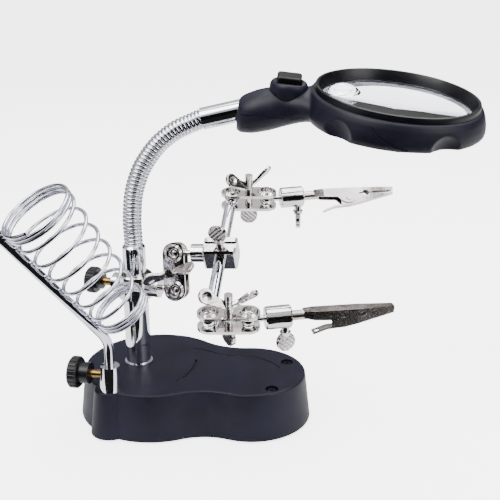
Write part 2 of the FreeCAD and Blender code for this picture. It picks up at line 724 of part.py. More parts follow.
def paddle(turn):
    """Thumbscrew disc that stands on z 0 with its flat sides turned by an angle."""
    radius, thick = PADDLE
    middle = V(0, 0, radius + 0.6)
    disc = rod(middle - V(0, thick / 2, 0), middle + V(0, thick / 2, 0), radius)
    disc = disc.makeChamfer(0.5, disc.Edges)
    lines = []
    slant = V(1, 0, 1).normalize()
    for side in (-1, 1):
        for n in (-2, -1, 0, 1, 2):
            mid = middle + V(1, 0, -1).normalize() * (n * 2.1) + V(0, side * (thick / 2 + 0.15), 0)
            lines.append(rod(mid - slant * 7, mid + slant * 7, 0.6))
    foot = Part.makeCone(3.2, 2.6, 2.2)
    return turned(fused([disc.cut(Part.makeCompound(lines)), foot]), V(0, 0, 0), UP, turn)


NUT_SEAT = PLATE_GAP / 2 + PLATE[2] + 0.15


def clamp_bolt(place, turn):
    """Bolt through both plates with a thumb disc below them."""
    head = turned(paddle(turn), V(0, 0, 0), V(1, 0, 0), 180)
    head.translate(V(0, 0, -PLATE_GAP / 2 - PLATE[2] - 0.02))
    shank = rod(V(0, 0, -PLATE_GAP / 2 - PLATE[2] - 0.1), V(0, 0, NUT_SEAT + 11.5), BOLT_RADIUS)
    return placed(fused([head, shank]), place)


def wing_nut(place, turn):
    boss = Part.makeCone(5.0, 3.8, 10.0)
    wings = []
    for side in (-1, 1):
        wing = disc_hull(V(side * 3.5, 0, 4.6), 2.8, V(side * 12.3, 0, 10.9), 4.6, 2.6)
        wings.append(wing.makeChamfer(0.7, [e for e in wing.Edges if e.Length > 3]))
    nut = fused([boss] + wings).cut(rod(V(0, 0, -1), V(0, 0, 20), BOLT_RADIUS + 0.05))
    nut = turned(nut, V(0, 0, 0), UP, turn)
    nut.translate(V(0, 0, NUT_SEAT))
    return placed(nut, place)


# ---- crossbar and its block
ROOT_FACING = -90.0
ROOT_LEAN = (0.25, -0.09)   # back and sideways for each unit of rise
ROOT_LONG = (UP + heading(ROOT_FACING + 180) * ROOT_LEAN[0]
             + heading(ROOT_FACING + 90) * ROOT_LEAN[1])
ROOT_AXES = clamp_axes(BALL_A1, ROOT_LONG, heading(ROOT_FACING))
BALL_A2 = BALL_A1 + unit(ROOT_LONG) * BALL_SPACING

BAR_DIR = unit(UPPER_BALL - LOWER_BALL)
BLOCK_MID = LOWER_BALL + BAR_DIR * (BALL_A2 - LOWER_BALL).dot(BAR_DIR)
STUD_DIR = unit(BLOCK_MID - BALL_A2)
STUD_REACH = (BLOCK_MID - BALL_A2).Length
BLOCK_AXES = axes_at(BLOCK_MID, BAR_DIR, STUD_DIR)
BLOCK_UP = BAR_DIR.cross(STUD_DIR) * -1


def crossbar_ball_stud():
    return ball_stud(BALL_A2, STUD_DIR, 10.0, STUD_REACH - 10.5, 2.4)


def crossbar_block():
    """Block on the crossbar, with a barrel for its ball stud and flanged ends."""
    lx, ly, lz = BLOCK
    core = block(V(-lx / 2, -ly / 2, -lz / 2), V(lx / 2, ly / 2, lz / 2))
    core = core.makeChamfer(1.2, core.Edges)
    waist = block(V(-20, -20, -2.2), V(20, 20, 2.2))
    waist = waist.cut(block(V(-20, -ly / 2 + 1, -9), V(20, ly / 2 - 1, 9)))
    barrel = rod(V(-STUD_REACH + 10.2, 0, 0), V(-lx / 2 + 1, 0, 0), 5.5)
    body = core.cut(waist).fuse(barrel)
    bar = rod(V(0, 0, -20), V(0, 0, 20), CROSSBAR_RADIUS + RUNNING)
    stud = rod(V(-40, 0, 0), V(-10.0, 0, 0), 2.45)
    screw = rod(V(0, 0, 0), V(0, -20, 0), 2.3)
    return placed(body.cut(bar).cut(stud).cut(screw), BLOCK_AXES)


def thumbscrew(tip, out, shank_length, neck, turn):
    """Thumbscrew from its tip outwards: shank, plain neck, disc."""
    shank = rod(V(0, 0, 0), V(0, 0, shank_length + neck), 2.25)
    disc = paddle(turn)
    disc.translate(V(0, 0, shank_length + neck - 0.4))
    return placed(fused([shank, disc]), axes_at(tip, out, UP.cross(out)))


def crossbar_thumbscrew():
    tip = BLOCK_MID + BLOCK_UP * (CROSSBAR_RADIUS + 0.05)
    return thumbscrew(tip, BLOCK_UP, BLOCK[1] / 2 - CROSSBAR_RADIUS, 3.0, 0)


def crossbar():
    neck = BAR_DIR * 9.0
    bar = rod(LOWER_BALL + neck, UPPER_BALL - neck, CROSSBAR_RADIUS)
    bar = bar.makeChamfer(0.6, bar.Edges)
    return fused([bar, ball(LOWER_BALL), ball(UPPER_BALL),
                  rod(LOWER_BALL, LOWER_BALL + neck * 1.1, NECK_RADIUS),
                  rod(UPPER_BALL, UPPER_BALL - neck * 1.1, NECK_RADIUS)])


# ---- clip arms: one hangs on each end of the crossbar
class ClipArm:
    """Places of the clamp, barrel and clip on one ball of the crossbar."""

    def __init__(self, ball_at, clamp_azimuth, clip_azimuth, clip_rise, roll, turns):
        along = heading(clamp_azimuth)
        normal = UP * math.cos(math.radians(CLIP_TILT)) \
            + heading(clamp_azimuth - 90) * math.sin(math.radians(CLIP_TILT))
        self.clamp = clamp_axes(ball_at, along, normal)
        self.normal = self.clamp.Rotation.multVec(UP)
        self.first, self.second = ball_at, ball_at + along * BALL_SPACING
        self.axis = heading(clip_azimuth, clip_rise)
        upright = unit(UP - self.axis * UP.dot(self.axis))
        self.barrel = axes_at(self.second, self.axis, upright * -1)
        start = self.second + self.axis * (BARREL_START + BARREL_LENGTH)
        lean = FreeCAD.Rotation(self.axis, roll).multVec(upright)
        self.clip = axes_at(start, lean, self.axis)
        self.pivot = self.clip.multVec(JAW_PIVOT)
        self.pivot_axis = self.clip.Rotation.multVec(V(0, 1, 0))
        self.screw_at = self.second + self.axis * (BARREL_START + BARREL_LENGTH / 2 + SCREW_OFFSET)
        self.down = upright * -1
        self.bolt_turn, self.nut_turn, self.screw_turn = turns


UPPER = ClipArm(UPPER_BALL, 10.0, CLIP_AZIMUTH, 2.4, -32.0, (0, 28, 15))
LOWER = ClipArm(LOWER_BALL, 11.0, CLIP_AZIMUTH, 2.2, 0.0, (55, 4, 75))


def clip_barrel(arm):
    """Turned barrel with a ball stud at one end and a socket for the clip at the other."""
    end, edge = BARREL_START + BARREL_LENGTH, 0.7
    neck = math.sqrt(BALL_RADIUS ** 2 - NECK_RADIUS ** 2)
    outline = [V(NECK_RADIUS, 0, neck), V(NECK_RADIUS, 0, BARREL_START),
               V(BARREL_RADIUS - edge, 0, BARREL_START), V(BARREL_RADIUS, 0, BARREL_START + edge),
               V(BARREL_RADIUS, 0, end - edge), V(BARREL_RADIUS - edge, 0, end), V(0, 0, end),
               V(0, 0, -BALL_RADIUS)]
    round_ball = Part.Arc(outline[-1], V(BALL_RADIUS, 0, 0), outline[0]).toShape()
    profile = Part.Wire([round_ball] + Part.makePolygon(outline).Edges)
    barrel = Part.Face(profile).revolve(V(0, 0, 0), UP, 360)
    bore = rod(V(0, 0, end - 11.5), V(0, 0, end + 5), 2.9)
    along = BARREL_START + BARREL_LENGTH / 2 + SCREW_OFFSET
    hole = rod(V(0, 0, along), V(20, 0, along), 2.3)
    return placed(barrel.cut(bore).cut(hole), arm.barrel)


def clip_thumbscrew(arm):
    return thumbscrew(arm.screw_at + arm.down * 2.95, arm.down, BARREL_RADIUS - 2.95, 3.0,
                      arm.screw_turn)


CLIP_LENGTH = 59.0
CLIP_SPAN = 9.0             # half the length of a cutter that goes across a clip
CLIP_ACROSS = V(0, 2 * CLIP_SPAN, 0)
CLIP_AXLE = 1.22            # radius of the rivet between the jaws


def channel(side, plan_half, open_side, inset=0.0):
    """Folded sheet channel: a side profile and a tapering width, hollow towards open_side."""
    def solid(shift, narrower):
        profile = prism([V(x, -CLIP_SPAN, z + shift * open_side) for x, z in side], CLIP_ACROSS)
        plan = prism([V(x, half - narrower, -20) for x, half in plan_half]
                     + [V(x, narrower - half, -20) for x, half in reversed(plan_half)], V(0, 0, 40))
        return profile.common(plan)

    hollow = solid(SHEET, inset + SHEET)
    for deeper in (4, 8):
        hollow = hollow.fuse(solid(SHEET + deeper, inset + SHEET))
    return solid(0, inset).cut(hollow)


def teeth(start, end, level, up):
    """Saw-tooth cutters along the mouth line."""
    pitch, depth = 1.9, 0.9 * up
    count = int((end - start) / pitch)
    return [prism([V(start + n * pitch, -CLIP_SPAN, level),
                   V(start + (n + 1) * pitch, -CLIP_SPAN, level),
                   V(start + (n + 0.5) * pitch, -CLIP_SPAN, level + depth)], CLIP_ACROSS)
            for n in range(count)]


MOUTH = -1.9                # height of the mouth line under the clip's tail


def across_clip(centre, radius):
    """Round cutter across the whole width of a clip."""
    return rod(centre - CLIP_ACROSS / 2, centre + CLIP_ACROSS / 2, radius)


def clip_frame(arm):
    """Upper jaw of the clip with its rolled tail."""
    side = [(7, 2.8), (CLIP_LENGTH, 0.9), (CLIP_LENGTH, MOUTH + 0.25), (36, MOUTH + 0.25),
            (33.5, -6.4), (31, -7.6), (27, -7.6), (24.5, -6.2), (22, -3.4), (12, -2.4), (7, -1.2)]
    plan = [(7, 2.8), (13, 4.2), (38, 4.2), (CLIP_LENGTH, 2.4)]
    shell = channel(side, plan, -1)
    tail = tube(V(-11, 0, 0), V(10, 0, 0), 2.8, 2.0)
    window = across_clip(V(40.5, 0, MOUTH - 0.5), 2.3)
    cuts = teeth(45, CLIP_LENGTH - 0.5, MOUTH + 0.2, 1) + [window]
    pin = across_clip(JAW_PIVOT, CLIP_AXLE + 0.06)
    return placed(fused([shell, tail]).cut(Part.makeCompound(cuts)).cut(pin), arm.clip)


def clip_jaw(arm):
    """Lower jaw with its press lever, nested between the walls of the upper jaw."""
    side = [(24, -4.9), (26, -1.6), (31, -1.4), (36, MOUTH - 0.25), (CLIP_LENGTH, MOUTH - 0.25),
            (CLIP_LENGTH, -3.4), (38, -7.4), (30, -8.8), (24, -8.9)]
    plan = [(22, 4.2), (38, 4.2), (CLIP_LENGTH, 2.6)]
    shell = channel(side, plan, 1, inset=SHEET + 0.25)
    lever = prism([V(27, -2.9, -8.2), V(27, -2.9, -8.9), V(20, -2.9, -9.2), V(12, -2.9, -11.6),
                   V(12, -2.9, -10.8), V(20, -2.9, -8.4)], V(0, 5.8, 0))
    loop = rod(V(14.5, 0, -15), V(14.5, 0, -5), 1.5)
    window = across_clip(V(40.5, 0, MOUTH + 0.5), 2.3)
    cuts = teeth(45.4, CLIP_LENGTH - 0.5, MOUTH - 0.2, -1) + [window, loop]
    pin = across_clip(JAW_PIVOT, CLIP_AXLE + 0.06)
    return placed(shell.fuse(lever).cut(Part.makeCompound(cuts)).cut(pin), arm.clip)


def clip_rivet(arm):
    shank = rod(JAW_PIVOT - V(0, 4.7, 0), JAW_PIVOT + V(0, 4.7, 0), CLIP_AXLE)
    heads = [rod(JAW_PIVOT + V(0, side * 4.22, 0), JAW_PIVOT + V(0, side * 4.9, 0), 1.9)
             for side in (-1, 1)]
    return placed(fused([shank] + heads), arm.clip)


def clip_spring(arm):
    """Torsion spring round the rivet."""
    helix = Part.makeHelix(0.95, 3.8, 1.75)
    start = V(1.75, 0, 0)
    coil = Part.Wire(helix).makePipeShell([Part.Wire(Part.makeCircle(0.35, start, V(0, 1, 0.1)))],
                                          True, True)
    place = axes_at(JAW_PIVOT - V(0, 1.9, 0), V(0, 1, 0), V(1, 0, 0))
    return placed(placed(coil, place), arm.clip)


def write_parts():
    nodes = {
        "base_shell": base_shell(),
        "base_bottom_cover": base_bottom_cover(),
        "battery_door": battery_door(),
        "ballast_plate": ballast_plate(),
        "battery_cells": battery_cells(),
        "battery_contacts": battery_contacts(),
        "rubber_feet": rubber_feet(),
        "deck_screws": deck_screws(),
        "cover_screws": cover_screws(),
        "post_tube": post_tube(),
        "post_nut": post_nut(),
        "gooseneck_sleeve": gooseneck_sleeve(),
        "post_collar": post_collar(),
        "collar_ball_stud": collar_ball_stud(),
        "collar_knob": collar_knob(),
        "collar_knob_stud": collar_knob_stud(),
        "iron_socket": iron_socket(),
        "socket_knob": socket_knob(),
        "socket_knob_stud": socket_knob_stud(),
        "iron_holder_rod": iron_holder_rod(),
        "iron_holder_coil": iron_holder_coil(),
        "head_tube": head_tube(),
        "head_shell_top": head_shell(True),
        "head_shell_bottom": head_shell(False),
        "lens_rim": lens_rim(),
        "main_lens": main_lens(),
        "inset_lens": inset_lens(),
        "led_lamps": led_lamps(),
        "switch_bezel": switch_bezel(),
        "switch_button": switch_button(),
        "root_clamp_plates": clamp_plates(ROOT_AXES),
        "root_clamp_bolt": clamp_bolt(ROOT_AXES, 90),
        "root_clamp_wing_nut": wing_nut(ROOT_AXES, 102),
        "crossbar_ball_stud": crossbar_ball_stud(),
        "crossbar_block": crossbar_block(),
        "crossbar_thumbscrew": crossbar_thumbscrew(),
        "crossbar": crossbar(),
    }
    for n in range(len(LINK_BENDS)):
        nodes[f"gooseneck_link_{n + 1}"] = gooseneck_link(n)
    for name, arm in (("upper", UPPER), ("lower", LOWER)):
        nodes[f"{name}_clamp_plates"] = clamp_plates(arm.clamp)
        nodes[f"{name}_clamp_bolt"] = clamp_bolt(arm.clamp, arm.bolt_turn)
        nodes[f"{name}_clamp_wing_nut"] = wing_nut(arm.clamp, arm.nut_turn)
        nodes[f"{name}_clip_barrel"] = clip_barrel(arm)
        nodes[f"{name}_clip_thumbscrew"] = clip_thumbscrew(arm)
        nodes[f"{name}_clip_frame"] = clip_frame(arm)
        nodes[f"{name}_clip_jaw"] = clip_jaw(arm)
        nodes[f"{name}_clip_rivet"] = clip_rivet(arm)
        nodes[f"{name}_clip_spring"] = clip_spring(arm)
    os.makedirs("parts", exist_ok=True)
    for name, shape in nodes.items():
        shape.exportStep(f"parts/{name}.step")
    return nodes


if __name__ == "__main__":
    write_parts()
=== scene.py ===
"""Helping hands clamp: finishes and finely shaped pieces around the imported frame.

Each operator makes one piece or group of like pieces. Everything is in metres, in the
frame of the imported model, and every place comes from that frame.
"""

import json
import math

import bpy
from mathutils import Matrix, Vector


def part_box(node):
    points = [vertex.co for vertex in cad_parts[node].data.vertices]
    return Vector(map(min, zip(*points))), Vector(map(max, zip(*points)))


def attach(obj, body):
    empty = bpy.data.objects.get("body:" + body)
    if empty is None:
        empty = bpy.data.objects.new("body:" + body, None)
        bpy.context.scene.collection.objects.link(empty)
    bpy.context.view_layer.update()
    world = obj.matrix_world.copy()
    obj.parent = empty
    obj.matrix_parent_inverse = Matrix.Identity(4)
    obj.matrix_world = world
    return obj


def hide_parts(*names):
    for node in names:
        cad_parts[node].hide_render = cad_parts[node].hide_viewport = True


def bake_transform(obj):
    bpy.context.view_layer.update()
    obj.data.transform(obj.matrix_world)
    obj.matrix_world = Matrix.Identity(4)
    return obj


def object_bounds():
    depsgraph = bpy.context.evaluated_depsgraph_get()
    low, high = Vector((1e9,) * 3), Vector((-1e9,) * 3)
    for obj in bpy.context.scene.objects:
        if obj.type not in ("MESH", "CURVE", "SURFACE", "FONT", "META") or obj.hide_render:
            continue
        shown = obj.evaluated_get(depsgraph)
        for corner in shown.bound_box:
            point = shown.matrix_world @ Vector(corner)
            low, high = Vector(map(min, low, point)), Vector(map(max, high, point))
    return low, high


bl_info = {
    "name": "Helping hands clamp",
    "version": (1, 0, 0),
    "blender": (4, 5, 0),
    "location": "3D View > Sidebar > Helping hands",
    "description": "Finishes and detailed pieces of a helping hands clamp with magnifier",
    "category": "Object",
}

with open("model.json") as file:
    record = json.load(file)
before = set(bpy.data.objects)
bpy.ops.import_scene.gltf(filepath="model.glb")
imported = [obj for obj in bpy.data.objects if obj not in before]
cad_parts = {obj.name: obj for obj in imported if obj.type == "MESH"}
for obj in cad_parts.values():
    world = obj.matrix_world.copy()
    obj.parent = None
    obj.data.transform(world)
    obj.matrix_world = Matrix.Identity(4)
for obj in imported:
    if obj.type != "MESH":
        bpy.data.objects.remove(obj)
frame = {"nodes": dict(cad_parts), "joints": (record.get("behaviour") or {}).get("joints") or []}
CAD_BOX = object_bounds()
MM = 0.001
JOINTS = {joint["name"]: joint for joint in frame["joints"]}


def middle_of(node):
    low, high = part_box(node)
    return (Vector(low) + Vector(high)) / 2


def axes_at(origin, up, ahead):
    """Place whose +Z is up and whose +X is as near to ahead as it can be."""
    z = Vector(up).normalized()
    x = (Vector(ahead) - z * z.dot(ahead)).normalized()
    return Matrix.Translation(origin) @ Matrix((x, z.cross(x), z)).transposed().to_4x4()


# The magnifier's own axes: centre of the lens, +X away from the handle, +Z up off the lens.
HEAD_UP = -Vector(JOINTS["switch_press"]["axis"])
HEAD = axes_at(middle_of("main_lens"), HEAD_UP, middle_of("main_lens") - middle_of("switch_button"))


# ---- colours and nodes
def linear(code):
    """Linear colour with alpha from an sRGB hex code."""
    parts = [int(code[n:n + 2], 16) / 255 for n in (0, 2, 4)]
    return [p / 12.92 if p <= 0.04045 else ((p + 0.055) / 1.055) ** 2.4 for p in parts] + [1.0]


def add(tree, kind, settings=None, inputs=None, stops=None):
    """A node with its settings, its inputs (values or sockets to link) and a ramp's stops."""
    node = tree.nodes.new(kind)
    for name, value in (settings or {}).items():
        setattr(node, name, value)
    for name, value in (inputs or {}).items():
        if isinstance(value, bpy.types.NodeSocket):
            tree.links.new(value, node.inputs[name])
        else:
            node.inputs[name].default_value = value
    if stops:
        ramp = node.color_ramp.elements
        while len(ramp) < len(stops):
            ramp.new(0.5)
        for element, (place, colour) in zip(ramp, stops):
            element.position = place
            element.color = colour
    return node


def grey(value):
    return (value, value, value, 1.0)


def new_material(name):
    """A material with an empty tree and object coordinates, in place of the frame's plain one."""
    plain = bpy.data.materials.get(name)
    if plain:
        plain.name = name + "_plain"
    material = bpy.data.materials.new(name)
    material.use_nodes = True
    tree = material.node_tree
    tree.nodes.clear()
    coords = add(tree, "ShaderNodeTexCoord").outputs["Object"]
    return material, tree, coords


def finish_material(tree, shader):
    add(tree, "ShaderNodeOutputMaterial", inputs={"Surface": shader.outputs[0]})


def plated_metal(name, bright, dull, roughness, ripple_mm, ripple, speck_mm=0.5):
    """Bright plated metal: tint and gloss drift over the surface, and the ground under the
    plate ripples it. roughness is (smoothest, roughest)."""
    material, tree, coords = new_material(name)
    drift = add(tree, "ShaderNodeTexNoise", inputs={
        "Vector": coords, "Scale": 1 / (9 * MM), "Detail": 3.0})
    tint = add(tree, "ShaderNodeValToRGB", inputs={"Fac": drift.outputs["Fac"]},
               stops=[(0.35, linear(dull)), (0.62, linear(bright))])
    speck = add(tree, "ShaderNodeTexNoise", inputs={
        "Vector": coords, "Scale": 1 / (speck_mm * MM), "Detail": 4.0})
    gloss = add(tree, "ShaderNodeMapRange", inputs={
        "Value": speck.outputs["Fac"], "From Min": 0.4, "From Max": 0.75,
        "To Min": roughness[0], "To Max": roughness[1]})
    wave = add(tree, "ShaderNodeTexNoise", inputs={
        "Vector": coords, "Scale": 1 / (ripple_mm * MM), "Detail": 1.0})
    bump = add(tree, "ShaderNodeBump", inputs={
        "Height": wave.outputs["Fac"], "Distance": ripple * MM, "Strength": 1.0})
    finish_material(tree, add(tree, "ShaderNodeBsdfPrincipled", inputs={
        "Base Color": tint.outputs["Color"], "Roughness": gloss.outputs["Result"],
        "Normal": bump.outputs["Normal"], "Metallic": 1.0}))
    return material


def moulded_plastic(name, high, low, roughness, grain_mm, grain, coat=0.0):
    """Moulded plastic: spark-eroded grain from the mould, with slow drift of shade and
    gloss where the skin cooled. roughness is (smoothest, roughest)."""
    material, tree, coords = new_material(name)
    drift = add(tree, "ShaderNodeTexNoise", inputs={
        "Vector": coords, "Scale": 1 / (14 * MM), "Detail": 4.0})
    shade = add(tree, "ShaderNodeValToRGB", inputs={"Fac": drift.outputs["Fac"]},
                stops=[(0.35, linear(low)), (0.68, linear(high))])
    gloss = add(tree, "ShaderNodeMapRange", inputs={
        "Value": drift.outputs["Fac"], "From Min": 0.3, "From Max": 0.7,
        "To Min": roughness[0], "To Max": roughness[1]})
    pits = add(tree, "ShaderNodeTexNoise", inputs={
        "Vector": coords, "Scale": 1 / (grain_mm * MM), "Detail": 2.0, "Roughness": 0.6})
    bump = add(tree, "ShaderNodeBump", inputs={
        "Height": pits.outputs["Fac"], "Distance": grain * MM, "Strength": 1.0})
    finish_material(tree, add(tree, "ShaderNodeBsdfPrincipled", inputs={
        "Base Color": shade.outputs["Color"], "Roughness": gloss.outputs["Result"],
        "Normal": bump.outputs["Normal"], "IOR": 1.53, "Specular IOR Level": 0.22,
        "Coat Weight": coat, "Coat Roughness": 0.25}))
    return material


def clear_plastic(name, colour, roughness):
    """Clear moulded acrylic or epoxy: faint haze where it has been wiped."""
    material, tree, coords = new_material(name)
    haze = add(tree, "ShaderNodeTexNoise", inputs={
        "Vector": coords, "Scale": 1 / (6 * MM), "Detail": 5.0})
    gloss = add(tree, "ShaderNodeMapRange", inputs={
        "Value": haze.outputs["Fac"], "From Min": 0.45, "From Max": 0.8,
        "To Min": roughness[0], "To Max": roughness[1]})
    finish_material(tree, add(tree, "ShaderNodeBsdfPrincipled", inputs={
        "Base Color": linear(colour), "Roughness": gloss.outputs["Result"],
        "IOR": 1.49, "Transmission Weight": 1.0}))
    return material


def make_materials():
    """One material for each real finish, under the name of the record's material slot."""
    made = {
        # Slate-black ABS, satin. The violet tint in both its colours is a painted sheen: the violet
        # that the deck takes from the room is put into the base colour of the whole base.
        "base_plastic": moulded_plastic(
            "base_plastic", "141427", "0D0D1C", (0.40, 0.50), 0.45, 0.012),
        # Sand-cast iron: dark, rough and pebbled.
        "ballast_iron": plated_metal("ballast_iron", "6A6866", "4C4A48", (0.5, 0.8), 1.2, 0.12),
        # Printed sleeve of a dry cell: smooth, slightly glossy.
        "cell_jacket": moulded_plastic(
            "cell_jacket", "2F5A3C", "26492F", (0.25, 0.35), 2.0, 0.005, 0.3),
        # Nickel-plated spring strip.
        "contact_spring_steel": plated_metal(
            "contact_spring_steel", "C9C5BC", "B3AFA6", (0.2, 0.35), 3, 0.01),
        # Soft matt rubber, with a little dust.
        "foot_rubber": moulded_plastic("foot_rubber", "1B1B1D", "141416", (0.75, 0.9), 0.8, 0.02),
        # Steel blackened in oil: dark, low gloss.
        "dark_screw": plated_metal("dark_screw", "3A3A40", "26262B", (0.3, 0.45), 0.8, 0.01),
        # Polished chrome on drawn tube: near mirror.
        "post_chrome": plated_metal("post_chrome", "EDEEF4", "E2E3EB", (0.035, 0.07), 14, 0.02),
        # Zinc-plated steel of the hidden nut.
        "plain_steel": plated_metal("plain_steel", "B9BBBC", "9C9EA0", (0.3, 0.45), 2, 0.02),
        # Chrome on a tumbled zinc casting: soft ripples and fine pits.
        "cast_chrome": plated_metal("cast_chrome", "E6E4E6", "CFCCCE", (0.08, 0.16), 2.6, 0.06),
        # Polished nickel ball, a shade warmer than chrome.
        "ball_nickel": plated_metal("ball_nickel", "E4E0DC", "CFCAC4", (0.05, 0.1), 3, 0.01),
        # Black phenolic knob with a light gloss.
        "knob_plastic": moulded_plastic(
            "knob_plastic", "111114", "0B0B0E", (0.28, 0.40), 0.6, 0.01, 0.2),
        # Turned brass with a dull bloom.
        "stud_brass": plated_metal("stud_brass", "96794C", "6E5735", (0.22, 0.36), 1.0, 0.02),
        # Chromed spring wire.
        "wire_chrome": plated_metal("wire_chrome", "E6E6F0", "CCCCDA", (0.05, 0.1), 5, 0.02),
        # Chromed solid bar.
        "bar_chrome": plated_metal("bar_chrome", "EDEEF4", "DEDFE8", (0.04, 0.08), 10, 0.02),
        # Slate-black ABS of the magnifier, finer grain than the base.
        "head_plastic": moulded_plastic(
            "head_plastic", "131323", "0C0C19", (0.38, 0.48), 0.4, 0.01),
        # Black styrene rim, smoother and glossier than the frame.
        "rim_plastic": moulded_plastic(
            "rim_plastic", "0C0C13", "08080D", (0.28, 0.36), 0.5, 0.005, 0.2),
        # Black button, fine matt.
        "button_plastic": moulded_plastic(
            "button_plastic", "0B0B0E", "070709", (0.32, 0.42), 0.4, 0.01),
        "lens_clear": clear_plastic("lens_clear", "F7F8FF", (0.0, 0.02)),
        "lamp_clear": clear_plastic("lamp_clear", "F4F5FF", (0.05, 0.15)),
        # Cast screws and nuts, bright nickel over a grainy casting.
        "screw_nickel": plated_metal("screw_nickel", "E2DEDC", "C6C1BF", (0.1, 0.2), 1.6, 0.07),
        # Stamped plates, bright nickel.
        "plate_nickel": plated_metal("plate_nickel", "E4E0DE", "CBC6C4", (0.08, 0.17), 2.2, 0.05),
        # Wound wire of the gooseneck, chromed.
        "hose_chrome": plated_metal("hose_chrome", "E8E8EF", "CFCFDA", (0.06, 0.12), 4, 0.02),
        # Nickel-plated sheet of the clips, with dull rolling marks.
        "clip_steel": plated_metal("clip_steel", "D8D2CE", "B7AFAA", (0.16, 0.3), 1.4, 0.03),
    }
    return made


# ---- modelling helpers
def only(piece):
    """Selects one piece and nothing else."""
    bpy.ops.object.select_all(action="DESELECT")
    piece.select_set(True)
    bpy.context.view_layer.objects.active = piece


def drawn_line(name, points):
    """Mesh of one open line: a plane gathered to a point, then pulled from point to point."""
    bpy.ops.object.select_all(action="DESELECT")
    bpy.ops.mesh.primitive_plane_add(size=0.002)
    piece = bpy.context.object
    piece.name = name
    piece.data.name = name
    bpy.ops.object.mode_set(mode="EDIT")
    bpy.ops.mesh.select_all(action="SELECT")
    bpy.ops.mesh.merge(type="CENTER")
    bpy.ops.transform.translate(value=points[0])
    for here, there in zip(points, points[1:]):
        step = Vector(there) - Vector(here)
        bpy.ops.mesh.extrude_vertices_move(TRANSFORM_OT_translate={"value": step})
    bpy.ops.object.mode_set(mode="OBJECT")
    return piece


def apply_modifiers(piece):
    only(piece)
    for modifier in list(piece.modifiers):
        bpy.ops.object.modifier_apply(modifier=modifier.name)


def copy_of(piece, name):
    twin = piece.copy()
    twin.data = piece.data.copy()
    twin.name = name
    twin.data.name = name
    bpy.context.scene.collection.objects.link(twin)
    return twin


def closed_up(piece):
    """Merges doubles and points every face outwards."""
    only(piece)
    bpy.ops.object.mode_set(mode="EDIT")
    bpy.ops.mesh.select_all(action="SELECT")
    bpy.ops.mesh.remove_doubles(threshold=1e-6)
    bpy.ops.mesh.normals_make_consistent(inside=False)
    bpy.ops.object.mode_set(mode="OBJECT")


def applied(piece):
    """Puts the piece's place, turn and scale into its mesh."""
    only(piece)
    bpy.ops.object.transform_apply(location=True, rotation=True, scale=True)
    return piece


def finished(piece, body, slot, smooth):
    """Shades the piece with edges sharper than smooth degrees, gives it its finish and lets it
    ride on its body, where it has a single one."""
    only(piece)
    bpy.ops.object.shade_smooth_by_angle(angle=math.radians(smooth))
    piece.data.materials.clear()
    piece.data.materials.append(bpy.data.materials[slot])
    if body:
        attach(piece, body)
    return piece


def spun(name, outline, steps=128):
    """A closed ring from its closed outline of (radius, height) in mm, about +Z."""
    loop = [(r * MM, 0, z * MM) for r, z in outline]
    piece = drawn_line(name, loop + loop[:1])
    turn = piece.modifiers.new("turn", "SCREW")
    turn.angle = 2 * math.pi
    turn.steps = steps
    turn.render_steps = steps
    turn.use_merge_vertices = True
    turn.merge_threshold = 1e-6
    apply_modifiers(piece)
    closed_up(piece)
    return piece


def joined(pieces, name):
    bpy.ops.object.select_all(action="DESELECT")
    for piece in pieces:
        piece.select_set(True)
    bpy.context.view_layer.objects.active = pieces[0]
    bpy.ops.object.join()
    piece = bpy.context.object
    piece.name = name
    piece.data.name = name
    return piece


def lofted(name, sections):
    """A closed form through oval sections along X: (x, height, half width, half height) in mm."""
    rings = []
    for x, z, half_width, half_height in sections:
        bpy.ops.object.select_all(action="DESELECT")
        bpy.ops.mesh.primitive_circle_add(vertices=48, radius=1.0, location=(x * MM, 0, z * MM),
                                          rotation=(0, math.pi / 2, 0))
        bpy.context.object.scale = (half_height * MM, half_width * MM, 1)
        rings.append(bpy.context.object)
    piece = applied(joined(rings, name))
    bpy.ops.object.mode_set(mode="EDIT")
    bpy.ops.mesh.select_all(action="SELECT")
    bpy.ops.mesh.bridge_edge_loops(number_cuts=4, interpolation="SURFACE", smoothness=1.0)
    bpy.ops.mesh.select_all(action="SELECT")
    bpy.ops.mesh.fill_holes(sides=0)
    bpy.ops.object.mode_set(mode="OBJECT")
    closed_up(piece)
    return piece


def melted(piece, voxel_mm, passes):
    """One skin over all the closed forms in the piece, with its inner corners filled out."""
    skin = piece.modifiers.new("skin", "REMESH")
    skin.mode = "VOXEL"
    skin.voxel_size = voxel_mm * MM
    soften = piece.modifiers.new("soften", "SMOOTH")
    soften.factor = 0.5
    soften.iterations = passes
    apply_modifiers(piece)


def cut_by(piece, tool):
    """Cuts the tool out of the piece and throws the tool away."""
    cut = piece.modifiers.new("cut", "BOOLEAN")
    cut.operation = "DIFFERENCE"
    cut.solver = "EXACT"
    cut.object = tool
    apply_modifiers(piece)
    bpy.data.objects.remove(tool)


def drum(place, radius, low, high):
    """Round cutting tool on the given axes, from height low to high, all in mm."""
    bpy.ops.object.select_all(action="DESELECT")
    bpy.ops.mesh.primitive_cylinder_add(vertices=96, radius=radius * MM,
                                        depth=(high - low) * MM)
    tool = bpy.context.object
    tool.matrix_world = place @ Matrix.Translation((0, 0, (low + high) / 2 * MM))
    return applied(tool)


def bead(centre, radius, segments):
    """Ball-shaped cutting tool, in mm."""
    bpy.ops.object.select_all(action="DESELECT")
    bpy.ops.mesh.primitive_uv_sphere_add(segments=segments, ring_count=segments // 2,
                                         radius=radius * MM, location=Vector(centre) * MM)
    return applied(bpy.context.object)


